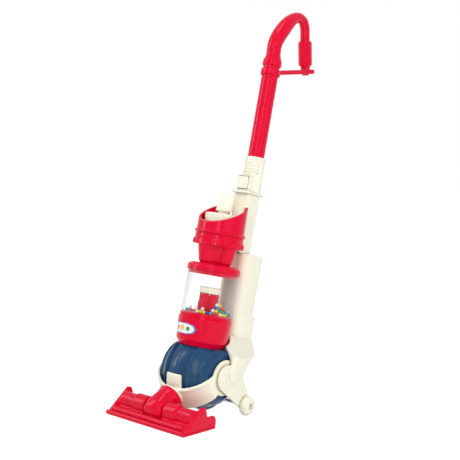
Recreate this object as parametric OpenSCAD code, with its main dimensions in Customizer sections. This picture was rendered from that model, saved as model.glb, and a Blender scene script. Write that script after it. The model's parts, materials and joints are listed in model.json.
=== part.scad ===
// Toy upright vacuum cleaner on a ball, parked upright with its floor head flat.
// Front is -Y, up is +Z; the body leans back about the hub line of the ball.

/* [Body] */
// Lean of the parked body, degrees
lean = 10.5; // [8:0.5:13]
// Height of the hub line above the floor
hub_z = 61; // [60:0.5:63]
// Radius of the ball
ball_r = 56; // [55:0.5:57]
// Wall of the moulded shells
wall = 2.4; // [2:0.1:2.8]
// Gap between pieces that move past each other
clear = 0.4; // [0.3:0.05:0.5]

/* [Bin] */
// Bin axis, behind the hub line
bin_v = -6.5; // [-8:0.5:-5]
// Outer radius of the clear bin wall
bin_r = 39.6; // [38:0.2:40]
// Clear wall thickness
glass_t = 2.2; // [1.6:0.1:2.6]
// Height of the bowl from its seat to its rim
bowl_h = 46.5; // [45:0.5:50]
// Height of the clear wall
glass_h = 64; // [58:1:70]
// Radius of a bead
bead_r = 2.5; // [2.3:0.1:2.8]

/* [Cyclone] */
// Radius of the belt
belt_r = 36.6; // [35:0.2:38]
// Turn of the lobes from straight ahead, degrees
lobe_turn = -6; // [-12:1:0]
// Slope of the hood's oblique rim, degrees
rim_slope = 29; // [24:1:32]

/* [Handle] */
// Wand axis, behind the hub line
wand_v = 47; // [46:0.5:48]
// Wand radius
wand_r = 12.8; // [12:0.1:13.2]
// Length of the wand inside its socket
wand_in = 54; // [48:1:56]
// Length of the wand between its socket and the clamp
wand_out = 129; // [115:1:140]
// Bend radius of the loop's top
loop_r = 22; // [20:0.5:23]
// Grip radius over the corners
grip_r = 11; // [10.4:0.2:11.4]

/* [Floor head] */
// Width of the head
head_w = 152; // [146:1:158]
// Head front, ahead of the hub line
head_front = 115.5; // [113:0.5:118]
// Head rear, ahead of the hub line
head_rear = 44.6; // [43:0.5:46]
// Height of the end plates
peak_h = 35.3; // [34:0.1:37]
// Radius of the inner drum sections
drum_r = 13.4; // [13:0.2:14]
// Radius of the elbow flange
flange_r = 21; // [20:0.5:22]

/* [Wheels] */
// Wheel radius
wheel_r = 14.5; // [14:0.1:15]
// Wheel width
wheel_w = 10; // [9:0.5:11]
// Wheel axle, behind the hub line
wheel_y = 43.8; // [42:0.2:46]
// Axle radius
axle_r = 3; // [2.5:0.1:3.5]

/* [Hidden] */
$fn = 64;
fit = 0.05;

// Heights along the leaning body, measured from the hub line
seat_u = 38.5;
rim_u = seat_u + bowl_h;
glass_u = rim_u + glass_h;
collar_h = 12;
cyc_u = glass_u + collar_h;
belt_u = cyc_u + 27;
belt_h = 17;
ring_u = belt_u + belt_h + 3;
spine_u = cyc_u + 25;
post_top = cyc_u + 115;
flange_t = 3.5;
socket_u = post_top + flange_t;
socket_top = socket_u + wand_in + 1;
wand_bottom = socket_top - wand_in;
clamp_u = socket_top + wand_out;
clamp_h = 10;

// Ball: a recessed centre channel, a rib on each side of it and a raised lobe at each end
channel_x = 19.6;
channel_d = 3;
rib_w = 2.8;
lobe_x = 36;
band_t = 1;
pole_x = 46;
inner_r = ball_r - channel_d - wall;
pole_r = sqrt(pow(ball_r, 2) - pow(pole_x, 2)) - 0.5;

// Hub: stub on the ball, yoke ring on the stub, leg plate outside it
stub_r = 12;
ring_x0 = pole_x + clear + 0.6;
ring_x1 = ring_x0 + 4.4;
plate_x0 = ring_x1 + clear;
plate_x1 = plate_x0 + 5.2;
ring_r = 26.5;
yoke_in = ball_r + band_t + 0.6;
yoke_out = yoke_in + 3.4;

// Neck and elbow: the neck points at the hub, the drum axis lies on the neck line
neck_a = 26;
drum_s = 93;
drum_y = -drum_s*cos(neck_a);
drum_z = hub_z - drum_s*sin(neck_a);
flange_s = 69;
elbow_w = 17;
neck_r = 14;

// The clamp's cross arm and the grip that comes down onto it, as points behind and above the hub
arm_slope = 16.3;
arm_c = [wand_v, clamp_u + clamp_h/2];
arm_len = 104;
arm_end = arm_c + arm_len*[cos(arm_slope), sin(arm_slope)];
arm_end_r = 8;
arm_t = 7;
grip_a = 17.6;
grip_foot = arm_c + 92.4*[cos(arm_slope), sin(arm_slope)];
grip_dir = [-sin(grip_a), cos(grip_a)];
grip_len = 40;
grip_tail = 9;
collar_u = clamp_u + clamp_h + 5;
loop_p1 = [wand_v - 1.8, collar_u + 34];
loop_p2 = [wand_v + 10.6, collar_u + 60];
loop_a = 32.6;
neck_len = 14;
loop_end = grip_foot + (grip_tail + grip_len + neck_len)*grip_dir;
loop_c = loop_end - loop_r*[cos(grip_a), sin(grip_a)];
loop_start = loop_c + loop_r*[-cos(loop_a), sin(loop_a)];

// Where the hub stands so that the part is centred on its own box
arm_tilt = arm_slope - lean;
y_back = arm_end.x*cos(lean) + arm_end.y*sin(lean) + arm_end_r*cos(arm_tilt) + arm_t/2*sin(arm_tilt);
hub_y = (head_front - y_back)/2;

red = [0.92, 0.05, 0.2];
ivory = [0.98, 0.97, 0.9];
blue = [0.13, 0.3, 0.5];
steel = [0.75, 0.76, 0.78];

// Places children in the leaning frame: x across, y behind the hub line, z along the body
module body_frame() { translate([0, hub_y, hub_z]) rotate([-lean, 0, 0]) children(); }
// Places children in the level frame of the floor head, with its origin on the floor under the hub
module floor_frame() { translate([0, hub_y, 0]) children(); }
// Places children about the hub line in the level frame
module hub_frame() { translate([0, hub_y, hub_z]) children(); }
// Extrudes a side outline across the body from x0 to x1
module across(x0, x1) { translate([x0, 0, 0]) rotate([90, 0, 90]) linear_extrude(x1 - x0) children(); }
// Revolves an outline about the X axis
module about_x() { rotate([0, 90, 0]) rotate_extrude() children(); }
// Cylinder across X
module rod_x(r, x0, x1) { translate([x0, 0, 0]) rotate([0, 90, 0]) cylinder(r = r, h = x1 - x0); }
// Cone between two points of the side view
module cone_to(p, q, r1, r2) {
    translate([0, p.x, p.y]) rotate([-atan2(q.x - p.x, q.y - p.y), 0, 0])
        cylinder(r1 = r1, r2 = r2, h = norm(q - p));
}
module on_bin() { translate([0, bin_v, 0]) children(); }
module on_wand() { translate([0, wand_v, 0]) children(); }
module pan_screw(r, h, head) {
    cylinder(r = r, h = h);
    translate([0, 0, h]) difference() {
        cylinder(r = head, h = 1.6);
        for (a = [0, 90]) rotate([0, 0, a]) translate([-head*0.7, -0.35, 0.9]) cube([head*1.4, 0.7, 2]);
    }
}

// Floor head
base_t = 4;
end_t = 6;
elbow_r = drum_z - 1.2;
elbow_gap = elbow_w + clear;
drum_end = head_w/2 - end_t;
drum_mid = 42;
drum_out = drum_r - 2.4;
pin_r = 6;
mouth_x = 60;
ledge_y = -head_front + 6;
ledge_r = 4.4;
screw_r = 1.2;
screw_z = 1.8;
module head_screw_places() { for (x = [-1, 1]) translate([x*(mouth_x + 6), -head_rear - 6, 0]) children(); }
module head_plan(y0, y1, x) { translate([-x, y0]) square([2*x, y1 - y0]); }
module head_base() color(red) floor_frame() difference() {
    union() {
        linear_extrude(base_t) head_plan(-head_front + base_t, -head_rear, head_w/2);
        intersection() {
            translate([0, -head_front + base_t, base_t]) rod_x(base_t, -head_w/2, head_w/2);
            translate([-head_w, -head_front, 0]) cube([2*head_w, base_t, 2*base_t]);
        }
    }
    translate([0, 0, -1]) linear_extrude(base_t + 2)
        head_plan(drum_y - elbow_r - 1, drum_y + elbow_r + 2, mouth_x);
    translate([0, 0, -1]) linear_extrude(base_t + 2) head_plan(drum_y, -head_rear + 1, flange_r + 3);
    head_screw_places() translate([0, 0, -1]) {
        cylinder(r = screw_r + 0.1, h = base_t + 2);
        cylinder(r = 2*screw_r + 0.2, h = 1 + screw_z);
    }
}
module drum_outline(r) { translate([drum_y, drum_z]) circle(r); }
module end_outline() {
    peak = [-72.5, peak_h - 6];
    translate(peak) circle(6);
    translate([-50.5, base_t + 11]) circle(4.5);
    polygon([[-head_front + 5, base_t], [-head_front + 8, base_t + 4], [peak.x - 4.6, peak.y + 3.9], peak,
        [peak.x + 5.7, peak.y + 1.8], [peak.x + 9, base_t + 16], [-53, base_t + 14.6], [-50.5, base_t + 15.5],
        [-46, base_t + 11], [-head_rear, base_t + 10], [-head_rear, base_t]]);
}
module drum(r, x0, x1) {
    difference() {
        across(x0, x1) union() {
            drum_outline(r);
            translate([drum_y - r, base_t]) square([2*r, drum_z - base_t]);
        }
        across(x0 + wall, x1 - wall) union() {
            drum_outline(r - wall);
            translate([drum_y - r + wall, 0]) square([2*(r - wall), drum_z]);
        }
    }
}
module rear_web(r, x0, x1) {
    across(x0, x1) translate([drum_y + r - 1, base_t]) square([-head_rear - drum_y - r + 1, 4]);
}
module head_cover() color(red) floor_frame() difference() {
    union() {
        for (m = [0, 1]) mirror([m, 0, 0]) {
            drum(drum_r, elbow_gap + 1, drum_mid);
            difference() {
                drum(drum_out, drum_mid, drum_end);
                for (x = [10, 16]) translate([drum_mid + x, drum_y, drum_z]) rotate([0, 90, 0])
                    rotate_extrude() translate([drum_out, 0]) circle(0.8);
            }
            across(drum_end, head_w/2) end_outline();
            rear_web(drum_r, flange_r + 4, drum_mid);
            rear_web(drum_out, drum_mid - 1, drum_end + 1);
            across(drum_mid - 1, drum_end + 1) translate([drum_y - drum_r, base_t])
                square([drum_r - drum_out + 1, 7]);
        }
        across(-drum_end, drum_end) union() {
            translate([ledge_y + ledge_r, base_t + 4.6]) circle(ledge_r);
            translate([ledge_y, base_t]) square([drum_y - drum_r - ledge_y + 1, 4.6]);
            translate([ledge_y + ledge_r, base_t]) square([drum_y - drum_r - ledge_y - ledge_r + 1, 7]);
        }
    }
    translate([0, drum_y, drum_z]) rod_x(pin_r + fit, -elbow_gap - 8, elbow_gap + 8);
    translate([0, drum_y, drum_z]) rod_x(elbow_r + 0.6, -elbow_gap, elbow_gap);
    head_screw_places() cylinder(r = screw_r + 0.1, h = base_t + 3);
}
module head_screws() color(steel) floor_frame() head_screw_places()
    translate([0, 0, base_t + 2.8]) rotate([180, 0, 0]) pan_screw(screw_r, base_t + 2.8 - screw_z, 2*screw_r);

// Elbow and yoke, along the neck line from the hub
module on_neck() { hub_frame() rotate([90 + neck_a, 0, 0]) children(); }
dome_r = 9;
module elbow_outline() {
    translate([0, -elbow_w]) square([elbow_r - dome_r, 2*elbow_w]);
    translate([0, -elbow_w + dome_r]) square([elbow_r, 2*(elbow_w - dome_r)]);
    for (x = [-1, 1]) translate([elbow_r - dome_r, x*(elbow_w - dome_r)]) circle(dome_r);
}
module elbow() color(red) difference() {
    union() {
        floor_frame() translate([0, drum_y, drum_z]) {
            about_x() elbow_outline();
            rod_x(pin_r, -elbow_gap - 1 - wall, elbow_gap + 1 + wall);
        }
        on_neck() translate([0, 0, flange_s])
            cylinder(r1 = elbow_w + 0.6, r2 = elbow_w - 0.6, h = drum_s - flange_s);
        on_neck() translate([0, 0, flange_s - 3]) cylinder(r = flange_r, h = 3.2);
    }
    on_neck() translate([0, 0, flange_s - 4]) cylinder(r = neck_r + fit, h = 17);
    on_neck() translate([0, 0, flange_s]) cylinder(r = neck_r - 4, h = drum_s - flange_s);
    floor_frame() translate([-(neck_r - 2), drum_y - neck_r + 3, -1])
        cube([2*neck_r - 4, 2*neck_r - 6, drum_z - 2]);
}
tab_top = 6;
tab_low = -22;
tab_x = 13.6;
function ray(a, r) = [-r*cos(a), r*sin(a)];
module sector(a0, a1, r) { polygon([[0, 0], ray(a0, r), ray((a0 + a1)/2, r*1.2), ray(a1, r)]); }
module ball_shell(r0, r1) { difference() { sphere(r = r1, $fn = 96); sphere(r = r0, $fn = 96); } }
module yoke() color(ivory) {
    difference() {
        union() {
            hub_frame() intersection() {
                ball_shell(yoke_in, yoke_out);
                across(-ring_x1, ring_x1)
                    polygon([[-80, -33.6], [-26, 9.6], [12, 20], [12, -4], [-15, -23], [-80, -94]]);
            }
            hub_frame() intersection() {
                ball_shell(yoke_in, yoke_out + 1.4);
                across(-ring_x1, ring_x1) polygon([[-80, -33.6], [-26, 9.6], [-24, 7.2], [-78, -36]]);
            }
            hub_frame() intersection() {
                ball_shell(ball_r - channel_d + clear, yoke_in + 0.5);
                across(-tab_x, tab_x) sector(tab_top, tab_low, 80);
            }
            hub_frame() for (m = [0, 1]) mirror([m, 0, 0]) rod_x(ring_r, ring_x0, ring_x1);
            on_neck() translate([0, 0, yoke_in + 1])
                cylinder(r = neck_r + 1.6, h = flange_s - 3 - clear - yoke_in - 1);
            on_neck() translate([0, 0, yoke_in + 1]) cylinder(r = neck_r, h = flange_s + 12 - yoke_in - 1);
        }
        hub_frame() rod_x(stub_r + fit, -60, 60);
        on_neck() cylinder(r = neck_r - 4, h = drum_s);
    }
}

// Ball: two shells with a flat deck that the bin stands on
deck_t = 4;
door_x = 25;
door_v = 28;
door_u = -30;
tray_x = 27.4;
tray_v = 31;
tray_u = -12;
post_r = 4;
door_screw_v = -door_v + 3.4;
module ball_outline() {
    module strip(r, x0, x1) {
        intersection() { circle(r, $fn = 96); translate([0, x0]) square([r + 1, x1 - x0]); }
    }
    strip(ball_r - channel_d, -pole_x, pole_x);
    for (s = [0, 1]) mirror([0, s]) {
        strip(ball_r - 1.6, channel_x, pole_x);
        strip(ball_r, channel_x + 0.1, channel_x + rib_w + 0.8);
        strip(ball_r + band_t, channel_x + 0.6, channel_x + rib_w);
        strip(ball_r - 0.4, lobe_x, pole_x);
        strip(ball_r + 0.4, lobe_x + 0.9, pole_x);
        strip(ball_r + band_t, lobe_x + 2, pole_x);
    }
}
module ball_screw_places() { for (x = [-20, 20], v = [-20, 20]) translate([x, v, 0]) children(); }
module door_box(c) {
    translate([-door_x - c, -door_v - c, -ball_r - 5])
        cube([2*(door_x + c), 2*(door_v + c), ball_r + 5 + door_u]);
}
module ball_half() body_frame() difference() {
    union() {
        difference() {
            about_x() ball_outline();
            sphere(r = inner_r, $fn = 96);
        }
        intersection() {
            sphere(r = inner_r + 0.5, $fn = 96);
            translate([-ball_r, -ball_r, seat_u - deck_t]) cube([2*ball_r, 2*ball_r, deck_t]);
        }
        rod_x(pole_r, pole_x - wall, pole_x);
        rod_x(stub_r, pole_x - wall, plate_x0);
    }
    translate([-80, -80, seat_u]) cube([160, 160, 60]);
    translate([-100, -80, -80]) cube([100, 160, 160]);
    door_box(clear/2);
    ball_screw_places() {
        translate([0, 0, seat_u - deck_t - 1]) cylinder(r = screw_r + 0.1, h = deck_t + 2);
        translate([0, 0, seat_u - 1.9]) cylinder(r = 2*screw_r + 0.2, h = 2);
    }
}
module ball_right() color(blue) ball_half();
module ball_left() color(blue) mirror([1, 0, 0]) ball_half();
module ball_screws() color(steel) body_frame() ball_screw_places()
    translate([0, 0, seat_u - 11]) pan_screw(screw_r, 11 - 1.9, 2*screw_r);

// Batteries under the deck: a tray hung on four posts, closed by a door in the ball's skin
cell_r = 7.1;
cell_len = 50;
cell_u = tray_u - wall - cell_r - 0.1;
cell_pitch = 2*cell_r + 0.5;
module cell_places() { for (i = [-1.5 : 1 : 1.5]) translate([0, i*cell_pitch, cell_u]) children(); }
module tray_box(c, top) {
    translate([-tray_x - c, -tray_v - c, -ball_r]) cube([2*(tray_x + c), 2*(tray_v + c), ball_r + top]);
}
module battery_tray() color([0.2, 0.2, 0.22]) body_frame() difference() {
    union() {
        intersection() {
            difference() {
                tray_box(wall, tray_u);
                tray_box(0, tray_u - wall);
            }
            sphere(r = inner_r - 0.1, $fn = 96);
        }
        ball_screw_places() translate([0, 0, tray_u - 1])
            cylinder(r = post_r, h = seat_u - deck_t - tray_u + 1);
        translate([0, 0, door_u - 4]) intersection() {
            translate([-post_r, -tray_v - 1, 0]) cube([2*post_r, 10.5, 4]);
            sphere(r = 60);
        }
    }
    ball_screw_places() translate([0, 0, seat_u - 12]) cylinder(r = screw_r + 0.1, h = 20);
    translate([0, door_screw_v, -60]) cylinder(r = screw_r + 0.1, h = 60);
}
door_head_u = -44;
module battery_door() color(blue) body_frame() difference() {
    union() {
        intersection() {
            difference() {
                about_x() ball_outline();
                sphere(r = inner_r, $fn = 96);
            }
            door_box(-clear/2);
        }
        intersection() {
            for (x = [-16, 16]) translate([x - 1, -20, -ball_r])
                cube([2, 40, ball_r + cell_u - cell_r - 0.3]);
            sphere(r = inner_r + 0.5, $fn = 96);
        }
        intersection() {
            translate([0, door_screw_v, -ball_r]) cylinder(r = 3.2, h = ball_r + door_u - 4);
            sphere(r = inner_r + 0.5, $fn = 96);
            door_box(-clear/2);
        }
    }
    translate([0, door_screw_v, -60]) cylinder(r = screw_r + 0.1, h = 40);
    translate([0, door_screw_v, -60]) cylinder(r = 2*screw_r + 0.2, h = 60 + door_head_u);
}
module door_screw() color(steel) body_frame() translate([0, door_screw_v, door_u - 0.5]) rotate([180, 0, 0])
    pan_screw(screw_r, door_u - 0.5 - door_head_u, 2*screw_r);
module cells() color([0.75, 0.55, 0.2]) body_frame() cell_places() rod_x(cell_r, -cell_len/2, cell_len/2);
module cell_plates() color(steel) body_frame() for (i = [0 : 3]) translate([0, (i - 1.5)*cell_pitch, cell_u])
    mirror([i % 2, 0, 0]) {
        rod_x(2.5, cell_len/2, tray_x - 0.3);
        translate([tray_x - 0.5, -4.5, -4.5]) cube([0.5, 9, 9]);
    }
module cell_springs() color(steel) body_frame() for (i = [0 : 3]) translate([0, (i - 1.5)*cell_pitch, cell_u])
    mirror([(i + 1) % 2, 0, 0]) translate([cell_len/2, 0, 0]) rotate([0, 90, 0]) difference() {
        cylinder(r1 = 3, r2 = 5, h = tray_x - cell_len/2);
        translate([0, 0, -1]) cylinder(r1 = 1.4, r2 = 4.6, h = tray_x - cell_len/2 + 2);
    }

// Spine: a duct behind the bin, a shoulder that wraps the ball, hub discs and wheel legs
spine_x = 24;
spine_v0 = bin_v + bin_r + 2.5;
spine_v1 = 85;
bulge_u0 = 57;
bulge_u1 = 92;
shoulder_v = 20;
shoulder_r = 66;
hub_disc_r = 20;
panel_t = 1.4;
leg_v = wheel_y*cos(lean) - (wheel_r - hub_z)*sin(lean);
leg_u = wheel_y*sin(lean) + (wheel_r - hub_z)*cos(lean);
module plan_box(x, v0, v1, r) {
    translate([-x, v0 + r]) square([2*x, v1 - v0 - 2*r]);
    translate([-x + r, v0]) square([2*x - 2*r, v1 - v0]);
    for (sx = [-1, 1], v = [v0 + r, v1 - r]) translate([sx*(x - r), v]) circle(r);
}
module duct(c) {
    translate([0, 0, bulge_u1 - 2 + c]) linear_extrude(spine_u - bulge_u1 + 2 - 2*c)
        plan_box(spine_x - c, spine_v0 + c, spine_v1 - c, 14 - c);
    translate([0, 0, bulge_u0 - 2]) linear_extrude(bulge_u1 - bulge_u0 + 2 - c)
        plan_box(spine_x + 2 - c, spine_v0 + c, spine_v1 + 5 - c, 15 - c);
}
// Extrudes a front outline of x and u from v0 to v1
module along_v(v0, v1) { translate([0, v1, 0]) rotate([90, 0, 0]) linear_extrude(v1 - v0) children(); }
module shoulder_side() {
    polygon([[3, 60], [88, 60], [88, 50], [72, 38], [53, 33], [46, 25.5], [37, 6], [37.6, -4], [24, -10],
        [12, -6], [4, 8]]);
}
module shoulder_inside() {
    polygon([[8, 56], [85, 56], [85, 52], [70, 41.5], [52, 36.5], [43, 28], [34, 8], [34, 0], [24, -5],
        [15, -2], [9, 10]]);
}
module shoulder_front(c) {
    polygon([[-1, 60 - c], [25 - c, 60 - c], [plate_x1 - c, 33 - c], [plate_x1 - c, -40], [-1, -40]]);
}
module shoulder(c) intersection() {
    translate([0, shoulder_v, -40]) cylinder(r = shoulder_r - c, h = 120, $fn = 96);
    along_v(-20, 100) shoulder_front(c);
    across(-1, 80) children();
}
module panel_outline() {
    translate([14.5, 4]) circle(11);
    polygon([[4, 4], [5.5, 18], [10, 27], [15, 32], [38, 32], [31, 20], [25.4, 4]]);
}
module leg_outline() {
    circle(hub_disc_r);
    translate([leg_v, leg_u]) circle(9);
    translate([leg_v - 6, leg_u + 21]) circle(7);
    polygon([[-6, -19], [leg_v - 4, leg_u - 8], [leg_v + 8.5, leg_u + 3], [leg_v + 1, leg_u + 20],
        [36, 4], [14, 14]]);
    polygon([[0, 0], [36, 4], [30, 30], [14, 22]]);
}
module spine_screw_places() {
    for (u = [bulge_u1 + 14, spine_u - 16]) translate([0, (spine_v0 + spine_v1)/2, u]) children();
}
module ball_room(c) { sphere(r = ball_r + band_t + clear + c, $fn = 96); }
module bin_room(c) { on_bin() translate([0, 0, seat_u - c]) cylinder(r = bin_r + 1.5 + c, h = 200); }
module spine_half() body_frame() difference() {
    union() {
        difference() {
            union() {
                duct(0);
                shoulder(0) shoulder_side();
            }
            difference() {
                shoulder(wall) shoulder_inside();
                ball_room(wall);
                bin_room(wall);
            }
            ball_room(0);
            rod_x(ring_r + 0.6, ring_x0 - 2, plate_x0);
        }
        across(plate_x0, plate_x1) leg_outline();
        across(plate_x1 - 1, plate_x1 + panel_t) panel_outline();
        rod_x(hub_disc_r/2, plate_x1 - 1, plate_x1 + 0.9);
    }
    difference() {
        duct(wall);
        spine_screw_places() rod_x(post_r, -spine_x, spine_x);
    }
    spine_screw_places() rod_x(screw_r + 0.1, -1, 10);
    rod_x(hub_disc_r/2 - 2.6, plate_x1 - 0.6, plate_x1 + 2);
    bin_room(0);
    translate([-100, -100, -100]) cube([100, 300, 400]);
    translate([0, leg_v, leg_u]) rod_x(axle_r, plate_x0 - 1, plate_x1 + 1);
}
module spine_right() color(ivory) spine_half();
module spine_left() color(ivory) difference() {
    mirror([1, 0, 0]) spine_half();
    body_frame() spine_screw_places() {
        rod_x(screw_r + 0.1, -spine_x, 1);
        rod_x(2*screw_r + 0.2, -spine_x - 5, -spine_x + 6);
    }
}
module spine_screws() color(steel) body_frame() spine_screw_places() translate([9, 0, 0]) rotate([0, -90, 0])
    pan_screw(screw_r, spine_x - 6 + 9, 2*screw_r);
module axle() color(steel) body_frame() translate([0, leg_v, leg_u])
    rod_x(axle_r, -plate_x1 - wheel_w + 2, plate_x1 + wheel_w - 2);
bell_r = 7;
recess_x = 4;
module wheel() floor_frame() translate([plate_x1 + clear, wheel_y, wheel_r]) rotate([0, 90, 0]) difference() {
    rotate_extrude() difference() {
        union() {
            square([wheel_r - bell_r, wheel_w]);
            square([wheel_r, wheel_w - bell_r]);
            translate([wheel_r - bell_r, wheel_w - bell_r]) circle(bell_r);
        }
        translate([axle_r + 4, -20]) square([wheel_r - axle_r - 8.5, 16 + wheel_w]);
        translate([0, -20]) square([wheel_r + 1, 20]);
    }
    translate([0, 0, -1]) cylinder(r = axle_r + fit, h = wheel_w + 2);
    translate([-recess_x, -recess_x, wheel_w - 1.6]) cube([2*recess_x, 2*recess_x, 3]);
}
module wheel_right() color(ivory) wheel();
module wheel_left() color(ivory) mirror([1, 0, 0]) wheel();

// Bin: bowl with the motor, slotted floor, clear wall, centre column, beads and collar
bowl_in = bin_r - glass_t - 1.2;
bowl_foot = 33;
motor_r = 12;
motor_u = seat_u + 4;
motor_h = 27;
shaft_r = 1;
fan_u = motor_u + motor_h + 5;
floor_t = 2.2;
floor_r = bin_r - glass_t - 0.2;
floor_u = rim_u + floor_t;
col_r = 15.2;
col_mid = floor_u + 17;
col_top = floor_u + 30;
module bowl() color(red) body_frame() on_bin() rotate_extrude() difference() {
    polygon([[0, seat_u], [bowl_foot, seat_u], [bin_r - 1, seat_u + 8], [bin_r + 0.9, rim_u - 6.5],
        [bin_r + 0.9, rim_u - 5.2], [bin_r - 0.6, rim_u - 4], [bin_r - 0.6, rim_u - 2],
            [bin_r, rim_u - 1.4], [bin_r, rim_u],
        [0, rim_u]]);
    polygon([[0, motor_u], [bowl_foot - 3, motor_u], [bowl_in - 1, seat_u + 10], [bowl_in, rim_u + 1],
        [0, rim_u + 1]]);
}
module motor() color(steel) body_frame() on_bin() difference() {
    union() {
        translate([0, 0, motor_u]) cylinder(r = motor_r, h = motor_h);
        translate([0, 0, motor_u + motor_h]) cylinder(r = 4, h = 2);
    }
    translate([0, 0, motor_u + motor_h - 4]) cylinder(r = shaft_r + fit, h = 10);
}
module impeller() color([0.95, 0.8, 0.2]) body_frame() on_bin() {
    translate([0, 0, motor_u + motor_h - 3.5]) cylinder(r = shaft_r, h = fan_u - motor_u - motor_h + 4.5);
    translate([0, 0, fan_u]) cylinder(r = 26, h = 1.2);
    translate([0, 0, fan_u]) cylinder(r = 5, h = 7);
    for (i = [0 : 7]) rotate([0, 0, 45*i]) translate([3, -0.6, fan_u]) cube([22, 1.2, 6]);
}
module bin_floor() color(red) body_frame() on_bin() difference() {
    translate([0, 0, rim_u]) cylinder(r = floor_r, h = floor_t);
    for (i = [0 : 11]) rotate([0, 0, 30*i]) translate([col_r + 3, -1, rim_u - 1]) cube([10, 2, floor_t + 2]);
    translate([0, 0, rim_u - 1]) cylinder(r = col_r - 5, h = floor_t + 2);
}
module bin_wall() color([0.9, 0.95, 0.97, 0.4]) body_frame() on_bin() translate([0, 0, rim_u]) difference() {
    cylinder(r = bin_r, h = glass_h, $fn = 96);
    translate([0, 0, -1]) cylinder(r = bin_r - glass_t, h = glass_h + 2, $fn = 96);
}
module column() color(red) body_frame() on_bin() difference() {
    union() {
        translate([0, 0, floor_u]) cylinder(r = col_r, h = col_mid - floor_u);
        translate([0, 0, col_mid]) cylinder(r = col_r - 0.7, h = col_top - col_mid);
    }
    translate([0, 0, floor_u - 1]) cylinder(r = col_r - wall - 0.7, h = col_top - floor_u + 2);
}
module column_cap() color(ivory) body_frame() on_bin() translate([0, 0, col_top]) rotate_extrude() {
    square([col_r + 1.1, 7]);
    square([col_r - 1.4, 9.5]);
    translate([col_r - 1.4, 7]) circle(2.5);
    translate([0, -3]) square([col_r - wall - 0.9, 3]);
}

// Beads lie along the wall in stacked, nested rows: each run is [row, first step, bead count]
bead_runs = [[0, -2, 7], [0, 5, 8], [0, 17, 9], [1, -1, 1], [1, 1, 1], [1, 3, 1], [1, 6, 6], [1, 18, 5],
    [2, 7, 4], [3, 7, 2]];
ring_bead_r = bin_r - glass_t - bead_r - 0.1;
bead_step = 2*asin((bead_r + 0.03)/ring_bead_r);
bead_rise = sqrt(3)*bead_r + 0.1;
module beads(c) body_frame() on_bin() for (run = bead_runs, i = [0 : run[2] - 1])
    if ((3*run[0] + 5*i + floor(i/3)) % 6 == c) rotate([0, 0, (run[1] + i + run[0] % 2*0.5)*bead_step - 90])
        translate([ring_bead_r, 0, floor_u + bead_r + run[0]*bead_rise]) sphere(r = bead_r, $fn = 24);
module beads_blue() color([0.1, 0.3, 0.75]) beads(0);
module beads_green() color([0.1, 0.6, 0.3]) beads(1);
module beads_yellow() color([0.95, 0.8, 0.1]) beads(2);
module beads_white() color([0.95, 0.95, 0.95]) beads(3);
module beads_red() color([0.9, 0.3, 0.1]) beads(4);
module beads_sky() color([0.4, 0.75, 0.9]) beads(5);
module collar() color(red) body_frame() on_bin() rotate_extrude() {
    translate([bin_r - 5, glass_u + 5.6]) circle(5.6);
    translate([bin_r - 12, glass_u]) square([12.4, 5.6]);
    translate([20, glass_u + 4]) square([bin_r - 25, collar_h - 4]);
    translate([floor_r - 2, glass_u - 5]) square([2, 6]);
}

// Cyclone and hood: flat at the back where the neck post passes
lobes = 4;
core_r0 = 23.4;
core_r1 = belt_r - 7.6;
belt_top = belt_u + belt_h;
post_x = 14;
post_v0 = 27.5;
post_v1 = 58;
cap_r = 10;
cap_t = 1.4;
hood_r = belt_r - 0.4;
hood_top_r = 34.6;
hood_low = ring_u + 13;
hood_back = 16;
hood_tip = hood_low + (hood_back - bin_v + hood_r)*tan(rim_slope);
module at_angle(a) { rotate([0, 0, a - 90]) children(); }
module back_flat() {
    translate([-post_x - clear, post_v0 - 14, belt_u - 3]) cube([2*(post_x + clear), 80, 120]);
}
module lobe() intersection() {
    translate([18, 0, cyc_u]) rotate([0, 11.3, 0]) translate([0, 0, -3])
        cylinder(r1 = 11.3, r2 = 13, h = belt_u - cyc_u + 6);
    translate([0, 0, cyc_u + 1]) cylinder(r = belt_r + 1, h = belt_u - cyc_u);
}
// Arched cap of a lobe: the upper half of a disc that faces outwards, standing proud of the belt
module lobe_cap() intersection() {
    translate([core_r1 - 6, 0, belt_u + 1]) rotate([0, 90, 0])
        cylinder(r = cap_r, h = belt_r + cap_t - core_r1 + 6);
    translate([0, -20, belt_u + 1]) cube([60, 40, belt_h - 2]);
}
// Square funnel: flats at f0 below and f1 above, its corners at the angle a
module funnel(a, f0, f1) at_angle(a) translate([0, 0, cyc_u])
    cylinder(r1 = f0*sqrt(2), r2 = f1*sqrt(2), h = belt_u - cyc_u + 1, $fn = 4);
module cyclone() color(red) body_frame() difference() {
    on_bin() difference() {
        union() {
            intersection() {
                funnel(lobe_turn, core_r0, core_r1);
                funnel(lobe_turn + 180/lobes, core_r0 + 2.6, core_r1 + 3.4);
            }
            rotate_extrude() polygon([[0, belt_u], [belt_r + 1.6, belt_u], [belt_r + 1.6, belt_u + 2.2],
                [belt_r, belt_u + 2.2], [belt_r, belt_top], [0, belt_top]]);
            for (i = [0 : lobes - 1]) at_angle(lobe_turn + 360/lobes*i) {
                lobe();
                lobe_cap();
            }
            for (i = [0 : lobes - 1], j = [-1, 0, 1]) at_angle(lobe_turn + 360/lobes*(i + 0.5) + 9*j)
                translate([belt_r - 1, -1.5, belt_u + 4]) cube([2.6, 3, 8]);
        }
        rotate_extrude() polygon([[0, cyc_u - 1], [core_r0 - 3.4, cyc_u - 1], [core_r1 - 3.6, belt_u],
            [core_r1 - 3.6, belt_top - 3], [0, belt_top - 3]]);
    }
    back_flat();
}
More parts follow.
